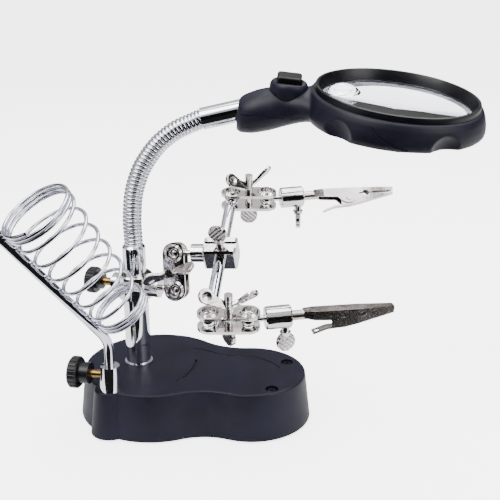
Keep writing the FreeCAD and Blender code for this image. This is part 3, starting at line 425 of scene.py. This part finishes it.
def square_tool(half, low, corner):
    """Square cutting tool about +Z that stands on height low, with round corners, in mm."""
    bpy.ops.object.select_all(action="DESELECT")
    bpy.ops.mesh.primitive_cube_add(size=2 * half * MM, location=(0, 0, (low + half) * MM))
    tool = applied(bpy.context.object)
    bpy.ops.object.mode_set(mode="EDIT")
    bpy.ops.mesh.select_all(action="DESELECT")
    bpy.ops.object.mode_set(mode="OBJECT")
    for edge in tool.data.edges:
        a, b = (tool.data.vertices[n].co for n in edge.vertices)
        edge.select = abs(a.z - b.z) > half * MM
    bpy.ops.object.mode_set(mode="EDIT")
    bpy.ops.mesh.select_mode(type="EDGE")
    bpy.ops.mesh.bevel(offset=corner * MM, segments=6)
    bpy.ops.object.mode_set(mode="OBJECT")
    return tool


def smooth_line(points):
    """A Bezier curve through the points."""
    bpy.ops.object.select_all(action="DESELECT")
    bpy.ops.curve.primitive_bezier_curve_add()
    line = bpy.context.object
    knots = line.data.splines[0].bezier_points
    knots.add(len(points) - len(knots))
    for knot, point in zip(knots, points):
        knot.co = point
        knot.handle_left_type = "AUTO"
        knot.handle_right_type = "AUTO"
    return line


def cord_tool(points, radius):
    """Thin round cutting tool along a smooth line through the points."""
    line = smooth_line(points)
    line.data.bevel_depth = radius
    line.data.bevel_resolution = 3
    line.data.use_fill_caps = True
    only(line)
    bpy.ops.object.convert(target="MESH")
    closed_up(line)
    return line


def on_skin(piece, place, spots):
    """Points of the piece's skin under spots, each (from, towards) in the given axes, in mm."""
    found = []
    for start, way in spots:
        origin = place @ (Vector(start) * MM)
        direction = place.to_3x3() @ Vector(way)
        hit, point, normal, face = piece.ray_cast(origin, direction.normalized())
        if not hit:
            raise RuntimeError(f"no skin under {start}")
        found.append(point)
    return found


def placed(piece, place):
    """Puts a piece made about the origin in its place, with the place in its mesh."""
    piece.matrix_world = place
    return applied(piece)


def split_at(piece, place, height, gap, names):
    """The upper and lower piece of a parting line across the given axes, in mm."""
    past = 90
    halves = []
    for name, side in zip(names, (1, -1)):
        half = copy_of(piece, name)
        edge = height + side * gap / 2
        cut_by(half, drum(place, 200, min(edge, -side * past), max(edge, -side * past)))
        closed_up(half)
        halves.append(half)
    bpy.data.objects.remove(piece)
    return halves


# ---- settings
class HoseSettings(bpy.types.PropertyGroup):
    radius: bpy.props.FloatProperty(
        name="Hose radius", description="Outside radius over the ribs",
        default=0.0057, unit="LENGTH")
    pitch: bpy.props.FloatProperty(
        name="Rib pitch", description="From one rib to the next", default=0.0023, unit="LENGTH")
    depth: bpy.props.FloatProperty(
        name="Rib depth", description="From the top of a rib to the root", default=0.00105,
        unit="LENGTH")


class MagnifierSettings(bpy.types.PropertyGroup):
    groove: bpy.props.FloatProperty(
        name="Groove", description="Half width of the moulded grooves", default=0.0005,
        unit="LENGTH")
    parting: bpy.props.FloatProperty(
        name="Parting line", description="Gap between the halves of the frame",
        default=0.00012, unit="LENGTH")


class NutSettings(bpy.types.PropertyGroup):
    wing: bpy.props.FloatProperty(
        name="Wing", description="Radius of the end of each wing", default=0.0044,
        unit="LENGTH")
    twist: bpy.props.FloatProperty(
        name="Twist", description="How far each wing turns out of the nut's plane",
        default=math.radians(40), subtype="ANGLE")


class StageSettings(bpy.types.PropertyGroup):
    floor: bpy.props.FloatVectorProperty(
        name="Floor", description="Colour of the floor", size=4, subtype="COLOR",
        default=linear("F4F4F6"))
    glow: bpy.props.FloatProperty(
        name="Back light", description="How brightly the paper sweep is lit through",
        default=4.0, min=0.0)


# ---- pieces
class HANDS_OT_finishes(bpy.types.Operator):
    """Give every part of the frame its finish"""
    bl_idname = "hands.finishes"
    bl_label = "Finishes"

    def execute(self, context):
        made = make_materials()
        for name, node in frame["nodes"].items():
            for place in node.material_slots:
                slot = place.material.name.removesuffix("_plain") if place.material else ""
                if slot not in made:
                    raise RuntimeError(f"no finish for {name}: {slot}")
                place.material = made[slot]
        return {"FINISHED"}


class HANDS_OT_gooseneck(bpy.types.Operator):
    """Wind the ribbed hose of the gooseneck along its joints"""
    bl_idname = "hands.gooseneck"
    bl_label = "Gooseneck hose"

    def execute(self, context):
        hose = context.scene.hands_hose
        names = ["gooseneck_turn", "gooseneck_bend"] + [f"gooseneck_bend_{n}" for n in range(2, 6)]
        stops = [Vector(JOINTS[name]["pos_m"]) for name in names]
        # The line runs on a little into the head tube, the hose only just.
        run_on, overlap = 4 * MM, 1.2 * MM
        last = stops[-1] + (stops[-1] - stops[-2]).normalized() * run_on
        path = smooth_line(stops + [last])
        path.data.twist_mode = "MINIMUM"
        path.data.resolution_u = 24
        length = path.data.splines[0].calc_length()
        # One rib: shares of its depth and pitch. The hose starts two ribs early, to be cut.
        core = hose.radius - hose.depth
        rib = ((0, 0), (0.75, 0.12), (1, 0.32), (1, 0.66), (0.75, 0.88), (0, 1))
        whole = drawn_line("hose", [(core + hose.depth * rise, 0, hose.pitch * (share - 2))
                                    for rise, share in rib])
        turns = whole.modifiers.new("turns", "SCREW")
        turns.angle = 2 * math.pi
        turns.screw_offset = hose.pitch
        turns.iterations = int(length / hose.pitch) + 6
        turns.steps = 24
        turns.render_steps = 24
        turns.use_merge_vertices = True
        turns.merge_threshold = 1e-6
        turns.use_smooth_shade = True
        apply_modifiers(whole)
        closed_up(whole)
        bodies = [f"gooseneck_{n}" for n in range(1, 6)] + ["head"]
        gaps = [(b - a).length for a, b in zip(stops, stops[1:])]
        reach = [sum(gaps[:n]) for n in range(len(gaps) + 1)]
        scale = (length - run_on) / reach[-1]
        reach = [r * scale for r in reach]
        middles = [(a + b) / 2 for a, b in zip(reach, reach[1:])]
        cuts = [0.0] + middles + [reach[-1] + overlap]
        for n, (low, high) in enumerate(zip(cuts, cuts[1:])):
            part = copy_of(whole, f"gooseneck_hose_{n + 1}")
            only(part)
            bpy.ops.object.mode_set(mode="EDIT")
            for place, direction in ((low, -1), (high, 1)):
                bpy.ops.mesh.select_all(action="SELECT")
                bpy.ops.mesh.bisect(plane_co=(0, 0, place), plane_no=(0, 0, direction),
                                    use_fill=True, clear_outer=True)
            bpy.ops.object.mode_set(mode="OBJECT")
            bend = part.modifiers.new("along", "CURVE")
            bend.object = path
            bend.deform_axis = "POS_Z"
            apply_modifiers(part)
            closed_up(part)
            finished(part, None if n else bodies[0], "hose_chrome", 50)
            if n:
                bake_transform(part)
            if n + 1 < len(bodies):
                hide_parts(f"gooseneck_link_{n + 1}")
        bpy.data.objects.remove(whole)
        bpy.data.objects.remove(path)
        return {"FINISHED"}


# Magnifier, in its own axes and mm.
LENS_RADIUS = 42.0
LENS_EDGE = (-2.2, 1.2)         # heights of its edge
LENS_CROWN = (2.4, 0.7)         # how far it swells below and above that
RIM_SEAT = 0.5                  # height of the ledge under the rim
PARTING_HEIGHT = -10.9
SCOOP_ANGLES = (0, 62, 130, -130, -62)
RING_OUTLINE = [
    (39.0, -12.5), (46.6, -12.5), (48.8, -11.2), (50.2, -8.8), (50.4, -6.6), (49.9, -3.5),
    (48.8, 0.2), (47.5, 2.9), (46.2, 3.7), (39.0, 3.7)]
RIM_OUTLINE = [
    (45.6, 0.55), (45.6, 6.0), (45.3, 6.7), (44.6, 7.0), (43.9, 6.8), (41.3, 1.5), (41.1, 0.55)]
SWITCH_OUTLINE = [
    (0.01, -3.0), (10.3, -3.0), (10.8, 0.6), (10.7, 3.7), (10.2, 5.1), (9.6, 5.9), (8.8, 6.3),
    (0.01, 6.4)]
HANDLE_SECTIONS = [
    (-86.6, -16.2, 7.6, 8.0), (-86.0, -16.2, 8.9, 9.3), (-81.5, -15.0, 11.9, 11.3),
    (-70, -11.6, 12.9, 12.3), (-58, -8.4, 12.4, 10.7), (-48, -6.0, 17.4, 9.0),
    (-38, -5.0, 26.5, 8.2)]
# The handle's groove as (along, height), and the ring's as (angle, height).
HANDLE_GROOVE = ((-84, -13.2), (-76, -12.4), (-68, -12.2), (-60, -12.2))
RING_GROOVE = ((-109, -0.5), (-105, -3.2), (-100, -5.8), (-94, -7.8), (-86, -9.2))


def tube_socket():
    """Cutting tool for the hole that the head tube plugs into, in the magnifier's axes."""
    clearance, behind = 0.1, 30
    points = [v.co for v in frame["nodes"]["head_tube"].data.vertices]
    middle = middle_of("head_tube")
    ahead = HEAD.to_3x3() @ Vector((1, 0, 0))
    far = [p for p in points if (p - middle).dot(ahead) > 0]
    near = [p for p in points if (p - middle).dot(ahead) <= 0]
    along = (sum(far, Vector()) / len(far) - sum(near, Vector()) / len(near)).normalized()
    reach = max((p - middle).dot(along) for p in far) / MM
    radius = max((p - middle - along * (p - middle).dot(along)).length for p in points) / MM
    tube = HEAD.inverted() @ axes_at(middle, along, HEAD_UP)
    return drum(tube, radius + clearance, -behind, reach + clearance)


def groove_lines(side):
    """Rays onto the skin for the grooves of one side: along the handle, then down the ring."""
    handle = [((x, -30 * side, z), (0, side, 0)) for x, z in HANDLE_GROOVE]
    ring = []
    for angle, height in RING_GROOVE:
        turn = math.radians(angle)
        ray = Vector((math.cos(turn), side * math.sin(turn), 0))
        ring.append((ray * 70 + Vector((0, 0, height)), -ray))
    return handle, ring


class HANDS_OT_magnifier(bpy.types.Operator):
    """Mould the magnifier's frame with its thumb scoops, its rim, lens and switch base"""
    bl_idname = "hands.magnifier"
    bl_label = "Magnifier"

    def execute(self, context):
        settings = context.scene.hands_magnifier
        ring = spun("ring", RING_OUTLINE)
        # The ring thins towards its far end.
        cut_by(ring, drum(Matrix.Translation((0, 0, -10.8 * MM)) @ Matrix.Rotation(-0.036, 4, "Y"),
                          90, -30, 0))
        body = joined([ring, lofted("handle", HANDLE_SECTIONS)], "frame")
        for angle in SCOOP_ANGLES:
            turn = math.radians(angle)
            cut_by(body, bead((61.4 * math.cos(turn), 61.4 * math.sin(turn), -10.0), 15.0, 64))
        cut_by(body, tube_socket())
        melted(body, 0.72, 3)
        placed(body, HEAD)
        # Window under the lens, its flared mouth, and the seats of the lens and the rim.
        for radius, low, high in ((LENS_RADIUS - 1.4, -30, 30), (LENS_RADIUS + 2.4, -30, -6.2),
                                  (LENS_RADIUS + 0.1, -2.6, 30), (45.75, RIM_SEAT, 30)):
            cut_by(body, drum(HEAD, radius, low, high))
        for side in (1, -1):
            for line in groove_lines(side):
                cut_by(body, cord_tool(on_skin(body, HEAD, line), settings.groove))
        closed_up(body)
        halves = split_at(body, HEAD, PARTING_HEIGHT, settings.parting / MM,
                          ("magnifier_frame_top", "magnifier_frame_bottom"))
        for half, node in zip(halves, ("head_shell_top", "head_shell_bottom")):
            finished(half, "head", "head_plastic", 30)
            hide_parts(node)

        rim = placed(spun("magnifier_rim", RIM_OUTLINE, 160), HEAD)
        finished(rim, "head", "rim_plastic", 35)
        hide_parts("lens_rim")

        radii = (0.01, 7, 14, 21, 28, 35, 39, LENS_RADIUS)
        swell = [(r, 1 - (r / LENS_RADIUS) ** 2) for r in radii]
        under = [(r, LENS_EDGE[0] - LENS_CROWN[0] * share) for r, share in swell]
        over = [(r, LENS_EDGE[1] + LENS_CROWN[1] * share) for r, share in swell[::-1]]
        lens = placed(spun("magnifier_lens", under + over, 160), HEAD)
        finished(lens, "head", "lens_clear", 50)
        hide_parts("main_lens")

        button = HEAD.inverted() @ middle_of("switch_button")
        base = spun("switch_base", SWITCH_OUTLINE, 72)
        cut_by(base, square_tool(7.15, 1.0, 2.1))
        placed(base, HEAD @ Matrix.Translation((button.x, 0, -0.5 * MM)))
        finished(base, "head", "head_plastic", 35)
        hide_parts("switch_bezel")
        return {"FINISHED"}


# Wing nut, in mm: +Z runs out along the bolt from its seat.
BOSS_OUTLINE = [
    (0.01, 0), (4.9, 0), (5.1, 0.5), (5.1, 1.3), (4.5, 2.6), (4.1, 6.5), (3.6, 8.4), (2.5, 9.7),
    (1.2, 10.2), (0.01, 10.3)]
WING_ROOT, WING_WAIST, WING_END = (2.6, 4.6), (7.0, 6.6), (12.2, 10.8)


def nut_wing(settings):
    """One wing: a plate hulled round three discs, hollowed on both faces and twisted."""
    bpy.ops.object.select_all(action="DESELECT")
    discs = []
    for (x, z), radius in ((WING_ROOT, 2.6), (WING_WAIST, 2.7), (WING_END, settings.wing / MM)):
        bpy.ops.mesh.primitive_cylinder_add(
            vertices=32, radius=radius * MM, depth=2.0 * MM,
            location=(x * MM, 0, z * MM), rotation=(math.pi / 2, 0, 0))
        discs.append(bpy.context.object)
    plates = []
    for pair in (discs[:2], discs[1:]):
        plate = applied(joined([copy_of(disc, "disc") for disc in pair], "wing"))
        bpy.ops.object.mode_set(mode="EDIT")
        bpy.ops.mesh.select_all(action="SELECT")
        bpy.ops.mesh.convex_hull()
        bpy.ops.object.mode_set(mode="OBJECT")
        plates.append(plate)
    for disc in discs:
        bpy.data.objects.remove(disc)
    wing = joined(plates, "wing")
    for side in (1, -1):
        cut_by(wing, bead((11.9, side * 8.45, 10.4), 8, 32))
    root = Vector((WING_ROOT[0], 0, WING_ROOT[1])) * MM
    rise = Vector((WING_END[0] - WING_ROOT[0], 0, WING_END[1] - WING_ROOT[1]))
    return placed(wing, Matrix.Translation(root) @ Matrix.Rotation(settings.twist, 4, rise)
                  @ Matrix.Translation(-root))


def nut_seat(node, joint):
    """Axes of a wing nut on its clamp: its seat, out along the bolt, towards a wing."""
    points = [v.co for v in frame["nodes"][node].data.vertices]
    axis, foot = Vector(joint["axis"]).normalized(), Vector(joint["pos_m"])
    across = [(p - foot) - axis * (p - foot).dot(axis) for p in points]
    tip = max(range(len(points)), key=lambda n: across[n].length)
    heights = [(p - foot).dot(axis) for p in points]
    if heights[tip] < (min(heights) + max(heights)) / 2:
        axis, heights = -axis, [-h for h in heights]
    return axes_at(foot + axis * min(heights), axis, across[tip])


class HANDS_OT_wing_nuts(bpy.types.Operator):
    """Cast the three wing nuts of the plate clamps"""
    bl_idname = "hands.wing_nuts"
    bl_label = "Wing nuts"

    def execute(self, context):
        boss = spun("boss", BOSS_OUTLINE, 48)
        wing = nut_wing(context.scene.hands_nuts)
        other = placed(copy_of(wing, "wing_2"), Matrix.Rotation(math.pi, 4, "Z"))
        nut = joined([boss, wing, other], "wing_nut")
        melted(nut, 0.3, 3)
        for side in ("root", "upper", "lower"):
            node = f"{side}_clamp_wing_nut"
            name = f"{side}_wing_nut"
            piece = placed(copy_of(nut, name), nut_seat(node, JOINTS[f"{name}_turn"]))
            finished(piece, name, "screw_nickel", 40)
            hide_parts(node)
        bpy.data.objects.remove(nut)
        return {"FINISHED"}


# The studio lights, in metres from the middle of the object: place, size, power in watts.
LIGHTS = {"key": ((-0.5, -0.6, 1.1), 0.9, 20.0), "top": ((0.25, 0.35, 1.3), 1.2, 24.0),
          "fill": ((1.1, -0.5, 0.7), 0.8, 8.0)}


def seen_directly(tree):
    """1 for what the camera sees, straight or through the lens, and 0 for all other light."""
    ray = add(tree, "ShaderNodeLightPath")
    return add(tree, "ShaderNodeMath", {"operation": "MAXIMUM"}, {
        0: ray.outputs["Is Camera Ray"], 1: ray.outputs["Is Transmission Ray"]}).outputs[0]


def paper_floor(settings):
    """Matt white paper, lit through from below where it is seen directly."""
    paper, tree, coords = new_material("paper_floor")
    fibre = add(tree, "ShaderNodeTexNoise", inputs={"Vector": coords, "Scale": 1 / (2 * MM)})
    shade = add(tree, "ShaderNodeMapRange", inputs={
        "Value": fibre.outputs["Fac"], "To Min": 0.55, "To Max": 0.65})
    lit = add(tree, "ShaderNodeBsdfPrincipled", inputs={
        "Base Color": tuple(settings.floor), "Roughness": shade.outputs["Result"]})
    strength = add(tree, "ShaderNodeMath", {"operation": "MULTIPLY"}, {
        0: seen_directly(tree), 1: settings.glow})
    glow = add(tree, "ShaderNodeEmission", inputs={
        "Color": tuple(settings.floor), "Strength": strength.outputs[0]})
    finish_material(tree, add(tree, "ShaderNodeAddShader", inputs={
        0: lit.outputs[0], 1: glow.outputs[0]}))
    return paper


def black_flag():
    """Black cloth that light passes through after the lens."""
    dull, tree, coords = new_material("black_flag")
    weave = add(tree, "ShaderNodeTexNoise", inputs={"Vector": coords, "Scale": 1 / (3 * MM)})
    cloth = add(tree, "ShaderNodeValToRGB", inputs={"Fac": weave.outputs["Fac"]},
                stops=[(0.3, grey(0.004)), (0.7, grey(0.008))])
    black = add(tree, "ShaderNodeBsdfDiffuse", inputs={"Color": cloth.outputs["Color"]})
    ray = add(tree, "ShaderNodeLightPath")
    finish_material(tree, add(tree, "ShaderNodeMixShader", inputs={
        0: ray.outputs["Is Transmission Ray"], 1: black.outputs[0],
        2: add(tree, "ShaderNodeBsdfTransparent").outputs[0]}))
    return dull


def studio_world():
    """Bright dome with dark gaps and soft panels round it, and a plain white backdrop."""
    world = bpy.data.worlds.new("studio")
    world.use_nodes = True
    tree = world.node_tree
    tree.nodes.clear()
    direction = add(tree, "ShaderNodeTexCoord").outputs["Generated"]
    height = add(tree, "ShaderNodeSeparateXYZ", inputs={"Vector": direction})
    sky = add(tree, "ShaderNodeValToRGB", inputs={"Fac": height.outputs["Z"]}, stops=[
        (0.0, grey(0.02)), (0.36, grey(0.03)), (0.50, grey(0.75)), (0.8, grey(1.0))])
    around = add(tree, "ShaderNodeTexGradient", {"gradient_type": "RADIAL"},
                 {"Vector": direction})
    panels = add(tree, "ShaderNodeValToRGB", inputs={"Fac": around.outputs["Fac"]}, stops=[
        (0.0, grey(0.02)), (0.05, grey(0.9)), (0.14, grey(0.9)), (0.17, grey(0.03)),
        (0.36, grey(0.03)), (0.41, grey(0.8)), (0.50, grey(0.8)), (0.54, grey(0.03)),
        (0.82, grey(0.03)), (0.85, grey(0.5)), (0.90, grey(0.5)), (0.94, grey(0.02))])
    both = add(tree, "ShaderNodeMix", {"data_type": "RGBA", "blend_type": "LIGHTEN"},
               {"Factor": 1.0, 6: sky.outputs["Color"], 7: panels.outputs["Color"]})
    studio = add(tree, "ShaderNodeBackground", inputs={"Color": both.outputs[2], "Strength": 1.0})
    plain = add(tree, "ShaderNodeBackground", inputs={"Color": linear("F6F6F8"), "Strength": 5.0})
    mixed = add(tree, "ShaderNodeMixShader", inputs={
        0: seen_directly(tree), 1: studio.outputs[0], 2: plain.outputs[0]})
    add(tree, "ShaderNodeOutputWorld", inputs={"Surface": mixed.outputs[0]})
    return world


class HANDS_OT_stage(bpy.types.Operator):
    """Lay the floor, hang the lights and place the camera"""
    bl_idname = "hands.stage"
    bl_label = "Stage"

    def execute(self, context):
        low, high = CAD_BOX
        middle = (low + high) / 2
        bpy.ops.object.select_all(action="DESELECT")
        bpy.ops.mesh.primitive_plane_add(size=60, location=(0, 0, low.z))
        floor = context.object
        floor.name = "floor"
        floor.data.materials.append(paper_floor(context.scene.hands_stage))

        # Black flags on the near side: the bright metal mirrors them, nothing else sees them.
        dull = black_flag()
        near = low.y - 0.02
        for name, place, size, tilt in (("mat", (0.1, near - 1.0, low.z + 0.0005), (4.0, 2.0), 0),
                                        ("card", (0.1, near - 2.0, 0.6), (4.0, 1.2), 90)):
            bpy.ops.object.select_all(action="DESELECT")
            bpy.ops.mesh.primitive_plane_add(size=1, location=place,
                                             rotation=(math.radians(tilt), 0, 0))
            flag = context.object
            flag.name = f"black_{name}"
            flag.scale = (size[0], size[1], 1)
            flag.data.materials.append(dull)
            flag.visible_camera = False
            flag.visible_diffuse = False
            flag.visible_shadow = False
            flag.visible_transmission = False

        for name, (place, size, power) in LIGHTS.items():
            bpy.ops.object.light_add(type="AREA", location=middle + Vector(place))
            lamp = context.object
            lamp.name = name
            lamp.data.shape = "SQUARE"
            lamp.data.size = size
            lamp.data.energy = power
            lamp.rotation_euler = (-Vector(place)).to_track_quat("-Z", "Y").to_euler()

        context.scene.world = studio_world()
        bpy.ops.object.camera_add(
            location=(0.1486, -0.4395, 0.2527),
            rotation=(math.radians(72), 0, math.radians(10)))
        camera = context.object
        camera.data.sensor_width = 36
        camera.data.lens = 57.6
        context.scene.camera = camera
        return {"FINISHED"}


class HANDS_PT_panel(bpy.types.Panel):
    """Lists the pieces"""
    bl_label = "Helping hands"
    bl_idname = "HANDS_PT_panel"
    bl_space_type = "VIEW_3D"
    bl_region_type = "UI"
    bl_category = "Helping hands"

    def draw(self, context):
        for operator in OPERATORS:
            self.layout.operator(operator.bl_idname)


SETTINGS = {"hands_hose": HoseSettings, "hands_magnifier": MagnifierSettings,
            "hands_nuts": NutSettings, "hands_stage": StageSettings}
OPERATORS = (HANDS_OT_finishes, HANDS_OT_gooseneck, HANDS_OT_magnifier, HANDS_OT_wing_nuts,
             HANDS_OT_stage)


def register():
    for name, group in SETTINGS.items():
        bpy.utils.register_class(group)
        setattr(bpy.types.Scene, name, bpy.props.PointerProperty(type=group))
    for each in OPERATORS + (HANDS_PT_panel,):
        bpy.utils.register_class(each)


def unregister():
    for each in (HANDS_PT_panel,) + OPERATORS[::-1]:
        bpy.utils.unregister_class(each)
    for name, group in SETTINGS.items():
        delattr(bpy.types.Scene, name)
        bpy.utils.unregister_class(group)


def main():
    register()
    bpy.ops.hands.finishes()
    bpy.ops.hands.gooseneck()
    bpy.ops.hands.magnifier()
    bpy.ops.hands.wing_nuts()
    bpy.ops.hands.stage()


if __name__ == "__main__":
    main()
